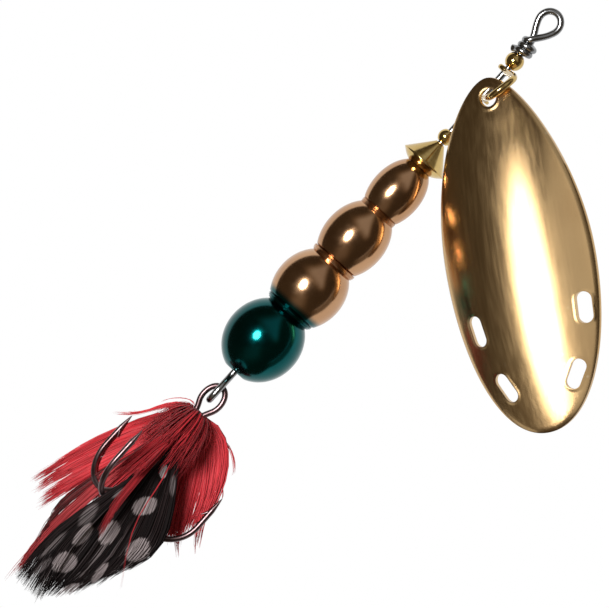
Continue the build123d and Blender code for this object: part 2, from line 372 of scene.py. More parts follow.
def blade_metal(pale, deep):
    """Polished blade metal: two tones that drift, fine lines drawn along its length, and small pits."""
    w = Wiring("blade_metal")
    turn = w.node("ShaderNodeMapping", {"Vector": w.coords, "Rotation": (0.0, BLADE_HANG - math.pi / 2, 0.0)})
    drawn = w.node("ShaderNodeMapping", {"Vector": turn.outputs[0], "Scale": (0.06, 1.0, 1.0)})
    field = {"Vector": drawn.outputs[0], "Scale": 2600.0, "Detail": 3.0}
    lines = w.node("ShaderNodeTexNoise", field).outputs["Fac"]
    pits = w.node("ShaderNodeTexVoronoi", {"Vector": w.coords, "Scale": 480.0}).outputs["Distance"]
    speck = w.span(pits, 0.03, 0.10, 1.0, 0.0)
    colour = w.ramp(w.noise(120.0), ((0.32, deep), (0.68, pale)))
    colour = w.mix(w.math("MULTIPLY", speck, 0.35), colour, (0.85, 0.72, 0.50))
    rough = w.span(lines, 0.35, 0.7, 0.2, 0.27)
    height = w.math("ADD", w.math("MULTIPLY", lines, 0.5), speck)
    return w.finish(Base_Color=colour, Metallic=1.0, Roughness=rough, Normal=w.bump(height, 0.0000015, 0.5))


def lacquered(name, metal, lacquer, low, high):
    """Polished metal that passes, with an uneven edge between two heights, into a clear coloured lacquer."""
    w = Wiring(name)
    height = w.node("ShaderNodeSeparateXYZ", {"Vector": w.coords}).outputs["Z"]
    edge = w.math("ADD", height, w.math("MULTIPLY", w.noise(900.0), 0.00025))
    share = w.span(edge, low, high, 1.0, 0.0, True)
    drift = w.noise(260.0)
    bare = w.ramp(drift, ((0.3, metal[1]), (0.7, metal[0])))
    coat = w.ramp(drift, ((0.3, lacquer[1]), (0.7, lacquer[0])))
    rough = w.span(w.noise(1500.0), 0.3, 0.75, *WEIGHT_GLOSS)
    colour = w.mix(share, bare, coat)
    return w.finish(Base_Color=colour, Metallic=1.0, Roughness=rough, Coat_Weight=0.08, Coat_Roughness=0.1)


def dyed_fibre(name, dark, middle, pale):
    """Dyed hackle: each fibre has its own tone, and the tone drifts along it."""
    w = Wiring(name)
    own = w.node("ShaderNodeAttribute", attribute_name="fibre").outputs["Fac"]
    drift = w.noise(420.0, 2.0)
    tone = w.math("ADD", w.math("MULTIPLY", own, 0.75), w.math("MULTIPLY", drift, 0.3))
    colour = w.ramp(tone, ((0.15, dark), (0.5, middle), (0.95, pale)))
    return w.finish(
        Base_Color=colour, Roughness=0.6, Sheen_Weight=0.06, Sheen_Roughness=0.4, Specular_IOR_Level=0.15
    )


# Pale spots on the dark feathers: X and Z of the middle, two half lengths, and the first one's lean from X
# towards Z in degrees
SPOTS = (
    (2.46, -66.56, 1.35, 0.92, 67), (1.57, -71.15, 1.46, 0.85, 97), (5.01, -70.51, 1.49, 1.1, 77),
    (1.49, -62.53, 0.75, 0.43, 122), (0.12, -76.59, 1.35, 1.05, 72), (-0.34, -73.11, 1.5, 0.62, 92),
    (3.62, -75.0, 1.35, 0.42, 95), (2.42, -78.64, 1.4, 0.5, 72),
)
FAINT_SPOTS = (
    (3.17, -63.02, 0.95, 0.25, 127), (-1.36, -71.12, 1.2, 0.5, 92), (-2.0, -76.0, 1.6, 0.28, 86),
    (-0.5, -67.2, 0.8, 0.22, 80), (-1.3, -78.6, 1.2, 0.3, 84),
)


def spotted_fibre(name, dark, brown, spot):
    """Dark barbs with oval pale spots laid across them, their edges frayed fibre by fibre."""
    w = Wiring(name)
    own = w.node("ShaderNodeAttribute", attribute_name="fibre").outputs["Fac"]

    def laid(spots, soft):
        """How far each point lies within the nearest of these ovals, from 1 inside to 0 outside."""
        nearest = None
        for x, z, long, short, lean in spots:
            place = {
                "Vector": w.coords,
                "Location": (x * MM, 0.0, z * MM),
                "Rotation": (0.0, -math.radians(lean), 0.0),
                "Scale": (long * MM, 1.0, short * MM),
            }
            oval = w.node("ShaderNodeMapping", place, vector_type="TEXTURE").outputs[0]
            reach = w.node("ShaderNodeVectorMath", {0: oval}, operation="LENGTH").outputs["Value"]
            nearest = reach if nearest is None else w.math("MINIMUM", nearest, reach)
        fray = w.math("ADD", nearest, w.math("MULTIPLY", own, 0.22))
        return w.span(fray, 1.0, soft, 1.0, 0.0)

    share = w.math("MAXIMUM", laid(SPOTS, 1.16), w.math("MULTIPLY", laid(FAINT_SPOTS, 1.5), 0.4))
    low = w.node("ShaderNodeSeparateXYZ", {"Vector": w.coords}).outputs["Z"]
    bleached = w.math("MULTIPLY", w.span(own, 0.84, 0.92, 0.0, 0.6), w.span(low, -0.074, -0.068, 1.0, 0.0))
    share = w.math("MAXIMUM", share, bleached)
    pale = w.mix(w.math("MULTIPLY", own, 0.3), spot, scaled(spot, 0.6))
    ground = w.mix(w.math("MULTIPLY", own, 0.8), dark, brown)
    colour = w.mix(share, ground, pale)
    return w.finish(Base_Color=colour, Roughness=0.65, Sheen_Weight=0.02, Specular_IOR_Level=0.08)


# ---------------------------------------------------------------- shaft, beads, clevis

def shaft_path():
    """The wire's middle line: wrapped tag, eye, straight shaft, tail loop and its tag, with round corners."""
    turn = np.linspace(math.radians(810), math.radians(25), 150)
    sink = -2.75 - WRAP_PITCH * turn / (2 * np.pi)
    wrap = np.stack([-WRAP_R * np.sin(turn), -WRAP_R * np.cos(turn), sink], 1)
    tag = wrap[0] + np.outer(np.linspace(0.55, 0.05, 6), (-0.75, 0.45, -0.45))
    level, half_w, half_l = LINE_EYE
    turn = np.radians(np.linspace(-32, 212, 70))
    eye = np.stack([half_w * np.cos(turn), np.linspace(-0.22, 0.0, 70), level + half_l * np.sin(turn)], 1)
    cross = [(-0.32, -0.74, -2.62), (0.35, -0.62, -1.75), (0.8, -0.42, -1.1)]
    down = [(-0.85, 0, -1.05), (-0.38, 0, -1.85), (-0.05, 0, -2.7), (0, 0, -3.4)]
    down += [(0, 0, -49.4), (0, 0, -50.4)]
    loop = [(0, -0.5, -51.1), (0, -0.92, -51.9), (0, -0.95, -52.9)]
    level, half_w, half_l = TAIL_LOOP
    turn = np.radians(np.linspace(180, 360, 30))
    base = np.stack([0 * turn, half_w * np.cos(turn), level + half_l * np.sin(turn)], 1)
    back = [(0, 0.95, -51.9), (0, 0.84, -51.1), (0, 0.79, -50.4)]
    path = evenly(np.vstack([tag, wrap, cross, eye, down, loop, base, back]), 1600)
    return eased(path, 8)


def ball_profile(radius, top, bottom):
    """A drilled ball's profile from its top round its side to its bottom and back up the bore."""
    reach = math.asin((BEAD_BORE_R + 0.07) / radius)
    a = np.linspace(reach, math.pi - reach, 40)
    middle = (top + bottom) / 2
    outer = np.stack([radius * np.sin(a), middle + radius * np.cos(a)], 1)
    h = outer[0, 1] - middle
    return np.vstack([outer, [(BEAD_BORE_R, middle - h + 0.02)], [(BEAD_BORE_R, middle + h - 0.02)]])


def cone_profile():
    """The bearing cone: a small flat top, a straight flank, a rounded rim and a shallow hollow underside."""
    head = [(BORE_R, -17.16), (0.49, -17.13)]
    flank = np.linspace((0.53, -17.13), (2.62, -19.66), 24)
    rim = [(2.66, -19.71), (2.67, -19.76), (2.65, -19.82), (2.6, -19.86)]
    s = np.linspace(0, 1, 16)
    under = np.stack([2.56 - 1.04 * s, -19.88 - 0.66 * s - 0.06 * np.sin(np.pi * s)], 1)
    return np.vstack([head, flank, rim, under, [(1.44, -20.595), (BORE_R, -20.595)]])


def clevis_shape():
    """A round wire carried round the stirrup from ear to ear; each ear is a drilled disc with round edges."""
    corners = [
        (0.1, -0.85, -6.84), (1.1, -5.6, -6.9), (1.16, -7.0, -7.35), (0.95, -7.5, -8.5),
        (0.72, -7.35, -9.75), (0.58, -6.6, -10.24), (0.45, -5.0, -10.4), (0.05, -0.85, -10.6),
    ]
    shapes = [carried(eased(evenly(corners, 160), 9), CLEVIS_WIRE_R, 20)]
    a = np.linspace(0, np.pi, 9)
    for height, half in CLEVIS_EARS:
        rim = np.stack([0.8 + 0.19 * np.sin(a), height + half * np.cos(a)], 1)
        hole = np.stack([0.56 - 0.1 * np.sin(a[::-1]), height + half * np.cos(a[::-1])], 1)
        shapes.append(lathe(np.vstack([rim, hole]), 40))
    return together(shapes)


# ---------------------------------------------------------------- blade

def bezier(a, b, c, d, steps):
    """A cubic curve through a and d, pulled towards b and c."""
    s = np.linspace(0, 1, steps)[:, None]
    a, b, c, d = (np.asarray(p, float) for p in (a, b, c, d))
    return (1 - s) ** 3 * a + 3 * (1 - s) ** 2 * s * b + 3 * (1 - s) * s ** 2 * c + s ** 3 * d


def blade_rim(steps):
    """The oval outline as a closed loop of (along, across) points."""
    top, tip = BLADE_ENDS
    wide = (BLADE_WIDEST, BLADE_HALF_W)
    before = (BLADE_WIDEST - BLADE_TOP_FULL[1], BLADE_HALF_W)
    after = (BLADE_WIDEST + BLADE_TIP_FULL[1], BLADE_HALF_W)
    shoulder = bezier((top, 0), (top, BLADE_TOP_FULL[0]), before, wide, steps)
    end = bezier(wide, after, (tip, BLADE_TIP_FULL[0]), (tip, 0), steps)
    half = np.column_stack([np.vstack([shoulder, end[1:]]), np.zeros(2 * steps - 1)])
    half = evenly(half, 2 * steps)[:, :2]
    return np.vstack([half, half[-2:0:-1] * (1, -1)])


def slot_rim(along, across, lean, grow):
    """A slot's outline: two half circles joined by straight sides, grown outwards by grow."""
    run, r = SLOT_HALF
    a = np.linspace(-np.pi / 2, np.pi / 2, 12)
    head = np.stack([run + (r + grow) * np.cos(a), (r + grow) * np.sin(a)], 1)
    side = np.stack([np.linspace(run, -run, 7)[1:-1], np.full(5, r + grow)], 1)
    loop = np.vstack([head, side, -head, -side])
    t = math.radians(lean)
    turned = loop @ np.array([[math.cos(t), math.sin(t)], [-math.sin(t), math.cos(t)]])
    return turned + (along, across)


def slot_distance(points, along, across, lean):
    """How far each point is outside a slot: its distance to the slot's middle line, less the end's radius."""
    t = math.radians(lean)
    local = (points - (along, across)) @ np.array([[math.cos(t), -math.sin(t)], [math.sin(t), math.cos(t)]])
    beyond = np.maximum(np.abs(local[:, 0]) - SLOT_HALF[0], 0)
    return np.hypot(beyond, local[:, 1]) - SLOT_HALF[1]


def rim_distance(points, rim):
    """Distance from each point to the outline's nearest edge."""
    a = rim
    ab = np.roll(rim, -1, 0) - a
    out = np.full(len(points), 1e9)
    for start in range(0, len(points), 2000):
        p = points[start:start + 2000, None] - a[None]
        s = np.clip((p * ab).sum(-1) / (ab * ab).sum(-1), 0, 1)
        out[start:start + 2000] = np.linalg.norm(p - s[..., None] * ab, axis=-1).min(1)
    return out


def inside(points, rim):
    """Whether each point lies inside a closed outline, by counting the edges crossed on the way out."""
    a, b = rim[None], np.roll(rim, -1, 0)[None]
    y = points[:, None, 1]
    spans = (a[..., 1] > y) != (b[..., 1] > y)
    x = a[..., 0] + (y - a[..., 1]) * (b[..., 0] - a[..., 0]) / np.where(spans, b[..., 1] - a[..., 1], 1)
    return (spans & (x > points[:, None, 0])).sum(1) % 2 == 1


def blade_height(points, lift):
    """Height over the hole's tangent plane: the outer part of a ring torus whose tube is grown by lift."""
    t, w = points.T
    middle = sum(BLADE_ENDS) / 2
    tube = np.sqrt((BLADE_ACROSS_R + lift) ** 2 - w ** 2)
    drop = BLADE_ALONG_R - middle ** 2 / (2 * BLADE_ALONG_R)
    return np.sqrt((BLADE_ALONG_R - BLADE_ACROSS_R + tube) ** 2 - (t - middle) ** 2) - drop


def blade_place(points, height):
    """Points of the blade's plane set at a height, hung from the clevis and turned as the blade rests."""
    out, down = math.sin(BLADE_HANG), math.cos(BLADE_HANG)
    length = np.array([out, 0, -down])
    facing = np.array([-down * math.sin(BLADE_ROLL), -math.cos(BLADE_ROLL), -out * math.sin(BLADE_ROLL)])
    across = np.cross(facing, length)
    flat = np.array(BLADE_HOLE_AT) + np.outer(points[:, 0], length) + np.outer(points[:, 1], across)
    return flat + np.outer(height, facing)


def blade_net(rim, spacing):
    """The blade's face as flat triangles that follow the rim, the hole and the slots."""
    turn = np.linspace(0, 2 * np.pi, 44, endpoint=False)
    circle = np.stack([np.cos(turn), np.sin(turn)], 1)
    loops = [rim, circle * HOLE_R] + [slot_rim(*slot, 0.0) for slot in SLOTS]
    rows = [circle * (HOLE_R + off) for off in HOLE_ROWS]
    rows += [slot_rim(*slot, off) for slot in SLOTS for off in SLOT_ROWS]
    t, w = np.meshgrid(*(np.arange(*reach, spacing) for reach in BLADE_GRID), indexing="ij")
    grid = np.stack([t.ravel() + (np.arange(t.size) % 2) * 0.01, w.ravel()], 1)
    grid = grid[inside(grid, rim) & (rim_distance(grid, rim) > RIM_CLEAR)]
    normal = np.roll(rim, -1, 0) - np.roll(rim, 1, 0)
    normal = np.stack([-normal[:, 1], normal[:, 0]], 1) / np.linalg.norm(normal, axis=1)[:, None]
    normal *= np.sign(((np.array([BLADE_WIDEST, 0.0]) - rim) * normal).sum(1))[:, None]
    rows += [rim + normal * off for off in RIM_ROWS]
    near = np.hypot(*grid.T) < HOLE_R + HOLE_CLEAR
    for slot in SLOTS:
        near |= slot_distance(grid, *slot) < SLOT_CLEAR
    points = np.vstack([*loops, grid[~near], *rows])
    edges, base = [], 0
    for loop in loops:
        k = np.arange(len(loop))
        edges.append(np.stack([base + k, base + (k + 1) % len(loop)], 1))
        base += len(loop)
    found = delaunay_2d_cdt([Vector(p) for p in points], np.vstack(edges).tolist(), [], 0, 1e-7)
    flat = np.array([tuple(v) for v in found[0]])
    tris = np.array(found[2])
    middle = flat[tris].mean(1)
    keep = inside(middle, rim) & (np.hypot(*middle.T) > HOLE_R * 0.999)
    for slot in SLOTS:
        keep &= ~inside(middle, slot_rim(*slot, 0.0))
    return flat, tris[keep]


def blade_shape(thickness, lip, spacing):
    """Front and back skins over one triangulation, with lips and an eased rim, and walls at each edge."""
    rim = blade_rim(90)
    flat, tris = blade_net(rim, spacing)
    around_hole = np.hypot(*flat.T) - HOLE_R
    rise = lip * 1.3 * np.exp(-((around_hole - 0.22) / 0.16) ** 2)
    for slot in SLOTS:
        rise += lip * np.exp(-((slot_distance(flat, *slot) - 0.06) / 0.11) ** 2)
    ripple = 0.02 * np.sin(0.9 * flat[:, 0] + 0.6 * flat[:, 1]) * np.exp(-((flat[:, 0] - 3.0) / 2.4) ** 2)
    ease = -0.13 * np.clip(1 - rim_distance(flat, rim) / 0.55, 0, 1) ** 2
    front = blade_place(flat, blade_height(flat, thickness / 2) + rise + ripple + ease)
    back = blade_place(flat, blade_height(flat, -thickness / 2) + 0.5 * rise + ripple)
    directed = np.vstack([tris[:, [0, 1]], tris[:, [1, 2]], tris[:, [2, 0]]])
    _, index, count = np.unique(np.sort(directed, 1), axis=0, return_index=True, return_counts=True)
    border = directed[index[count == 1]]
    n = len(flat)
    walls = np.stack([border[:, 1], border[:, 0], border[:, 0] + n, border[:, 1] + n], 1)
    return np.vstack([front, back]), walls, np.vstack([tris, tris[:, ::-1] + n])


# ---------------------------------------------------------------- weight

# Name, node, middle height, half length, radius, top, bottom, and radius of the collar above the top, if any
BARRELS = (
    ("weight_front", "front_ball", -24.19, 4.24, 2.78, -20.62, -26.68, 0.0),
    ("weight_second", "second_ball", -30.76, 4.61, 3.47, -27.2, -33.73, 2.27),
    ("weight_third", "third_ball", -37.86, 4.59, 3.9, -34.28, -40.73, 2.8),
    ("weight_tail", "tail_ball", -45.18, 4.72, 4.22, -41.24, -49.68, 2.98),
)


def barrel_profile(middle, half, radius, top, bottom, collar):
    """An ellipse cut flat at both ends, its edges broken, with a grooved collar above the top where asked.
    A low boss on each collar stands in a recess under the bead above."""
    a = np.linspace(math.acos((top - middle) / half), math.acos((bottom - middle) / half), 90)
    body = np.stack([radius * np.sin(a), middle + half * np.cos(a)], 1)
    body[-1] = (body[-1, 0] - 0.05, bottom)
    edge = body[-1, 0] - 0.06
    foot = [(BORE_R, bottom)]
    if edge > RECESS_FROM:
        foot = [(edge, bottom), (edge - 0.03, bottom + 0.1), (BORE_R, bottom + 0.1)]
    if not collar:
        return np.vstack([[(BORE_R, top), (body[0, 0] - 0.06, top)], body, foot])
    s = np.linspace(0, 1, 19)
    groove = 0.035 * np.cos(2 * np.pi * 3 * s) - 0.035
    ring = np.stack([collar + groove + (body[0, 0] - collar) * 0.35 * s ** 3, top + 0.5 * (1 - s)], 1)
    ring[0, 0] -= 0.05
    dip = (ring[-1, 0] - 0.05, top - 0.03)
    boss = [(BORE_R, top + 0.57), (0.88 * collar - 0.03, top + 0.57), (0.88 * collar, top + 0.5)]
    return np.vstack([boss, ring, [dip], body[2:], foot])


# ---------------------------------------------------------------- treble

def upright(flat, angle):
    """Points of (outward, height) set in the upright plane that stands at this angle."""
    t = math.radians(angle)
    return np.stack([flat[:, 0] * math.cos(t), flat[:, 0] * math.sin(t), flat[:, 1]], 1)


def hook_path(angle):
    """From the point down, round the bend and up the shank."""
    a = np.linspace(0, -np.pi, 60)
    middle = (HOOK_SPREAD + HOOK_OUT) / 2
    level = HOOK_FLOOR + HOOK_BEND_R
    bend = np.stack([middle + (HOOK_OUT - middle) * np.cos(a), level + HOOK_BEND_R * np.sin(a)], 1)
    point = np.linspace((HOOK_OUT - 0.06, HOOK_TIP), (HOOK_OUT, level + 0.1), 26)
    shank = np.linspace((HOOK_SPREAD, level + 0.1), (HOOK_SPREAD, HOOK_SHANK_TOP), 40)
    return upright(np.vstack([point, bend, shank]), angle)


def taper(path, radius, both):
    """A wire's radius along its path, drawn down to a needle point at its start, and at its end if asked."""
    run = run_along(path)
    left = np.minimum(run, run[-1] - run) if both else run
    return radius * (0.06 + 0.94 * np.clip(left / HOOK_NEEDLE, 0, 1) ** 0.8)


def barb(angle, radius):
    """A barb: a small wedge-shaped spur carried from the wire's inner side, inwards and down."""
    inward = np.array([0.1, 0.32, 0.55, 0.72])
    root = np.stack([HOOK_OUT - inward, (-62.5, -62.85, -63.2, -63.42)], 1)
    path = evenly(upright(root, angle), 10)
    return carried(path, np.linspace(0.72 * radius, 0.05 * radius, 10), 10)


def pair_shape(radius):
    """One wire from point to point: a hook, the oval eye and the second hook, with their barbs."""
    level, half_w, half_l = HOOK_EYE
    first, second = HOOK_ANGLES[:2]
    a = np.radians(np.linspace(-54, 234, 90))
    across = HOOK_EYE_SET + half_w * np.cos(a)
    eye = np.stack([across, np.linspace(0.1, 0.25, 90), level + half_l * np.sin(a)], 1)
    path = eased(evenly(np.vstack([hook_path(first), eye, hook_path(second)[::-1]]), 700), 5)
    wire = carried(path, taper(path, radius, True), 18)
    return together([wire, barb(first, radius), barb(second, radius)])


def single_shape(radius):
    """The third hook, from its point to the top of its shank, with its barb."""
    path = eased(evenly(hook_path(HOOK_ANGLES[2]), 300), 3)
    wire = carried(path, taper(path, radius, False), 18)
    return together([wire, barb(HOOK_ANGLES[2], radius)])


def thread_shape():
    """Thread laid in touching turns round the shanks: a thin round section along a helix, over a core."""
    turns = 13
    a = np.linspace(0, 2 * np.pi * turns, turns * 28)
    r = 0.83 + 0.03 * np.sin(a * 0.37)
    path = np.stack([r * np.cos(a), r * np.sin(a), np.linspace(-56.05, -58.5, len(a))], 1)
    core = [
        (0.2, -55.25), (0.42, -55.3), (0.66, -55.75), (0.8, -56.15),
        (0.8, -58.4), (0.76, -58.55), (0.3, -58.55),
    ]
    return together([carried(path, THREAD_R, 8), lathe(core, 32)])


# ---------------------------------------------------------------- feathers

def fibres(root, first, second, tip, half_w, steps, facing):
    """Flat fibres: a diamond section that tapers to its tip, carried along a cubic through four points."""
    s = np.linspace(0, 1, steps)[None, :, None]
    b = (-5 * root + 18 * first - 9 * second + 2 * tip) / 6
    c = (2 * root - 9 * first + 18 * second - 5 * tip) / 6
    root, b, c, tip = (p[:, None] for p in (root, b, c, tip))
    line = (1 - s) ** 3 * root + 3 * (1 - s) ** 2 * s * b + 3 * (1 - s) * s ** 2 * c + s ** 3 * tip
    tangent = np.gradient(line, axis=1)
    tangent /= np.linalg.norm(tangent, axis=2)[..., None]
    across = np.cross(tangent, facing[:, None])
    across /= np.linalg.norm(across, axis=2)[..., None]
    out = np.cross(across, tangent)
    slim = (1 - 0.9 * s ** 3) * (0.45 + 0.55 * np.clip(s / 0.15, 0, 1))
    across *= slim * half_w[:, None, None]
    out *= slim * FIBRE_HALF_T
    verts = np.stack([line + across, line + out, line - across, line - out], 2)
    count = len(verts)
    per = closed_grid(steps, 4, False)
    caps = np.array([[3, 2, 1, 0], [steps * 4 - 4, steps * 4 - 3, steps * 4 - 2, steps * 4 - 1]])
    per = np.vstack([per, caps])
    quads = (per[None] + (np.arange(count) * steps * 4)[:, None, None]).reshape(-1, 4)
    return verts.reshape(-1, 3), quads, np.zeros((0, 3), int)


def fan(rng, edges, count, loose, short, half_w, tones, strands=0):
    """A fan of fibres: each takes a random place between the edge curves, strays, and may stop short.
    Where strands are asked for, the fibres draw together into that many locks towards their tips."""
    edges = np.asarray(edges, float)
    place = rng.random(count)
    seat = np.linspace(0, 1, len(edges))
    lock = (np.floor(place * strands) + 0.5) / strands if strands else place
    places = [place, place, place + 0.35 * (lock - place), place + 0.8 * (lock - place)]
    root, first, second, tip = (
        np.stack([np.interp(places[k], seat, edges[:, k, axis]) for axis in range(3)], 1) for k in range(4)
    )
    length = 1 - short * rng.random(count) ** 2
    stray = rng.normal(0, loose, (count, 3)) * (1.0, 0.8, 1.0)
    tip = second + (tip - second) * (1 - (1 - length) * 3)[:, None]
    first = first + stray * 0.35
    second = second + stray * 0.7 + rng.normal(0, loose * 0.3, (count, 3))
    tip = tip + stray + rng.normal(0, loose * 0.5, (count, 3))
    root = root + rng.normal(0, 0.12, (count, 3))
    facing = np.array([0.0, -1.0, 0.0]) + rng.normal(0, 0.35, (count, 3))
    width = half_w * (0.6 + 0.8 * rng.random(count))
    shape = fibres(root, first, second, tip, width, FAN_STEPS, facing)
    return shape, np.repeat(tones[0] + (tones[1] - tones[0]) * rng.random(count), FAN_STEPS * 4)


def plume(fans, seed):
    """Several fans joined into one plume, all drawn from one seeded run of random numbers."""
    rng = np.random.default_rng(seed)
    made = [fan(rng, *row) for row in fans]
    return together([shape for shape, _ in made]), np.concatenate([tone for _, tone in made])


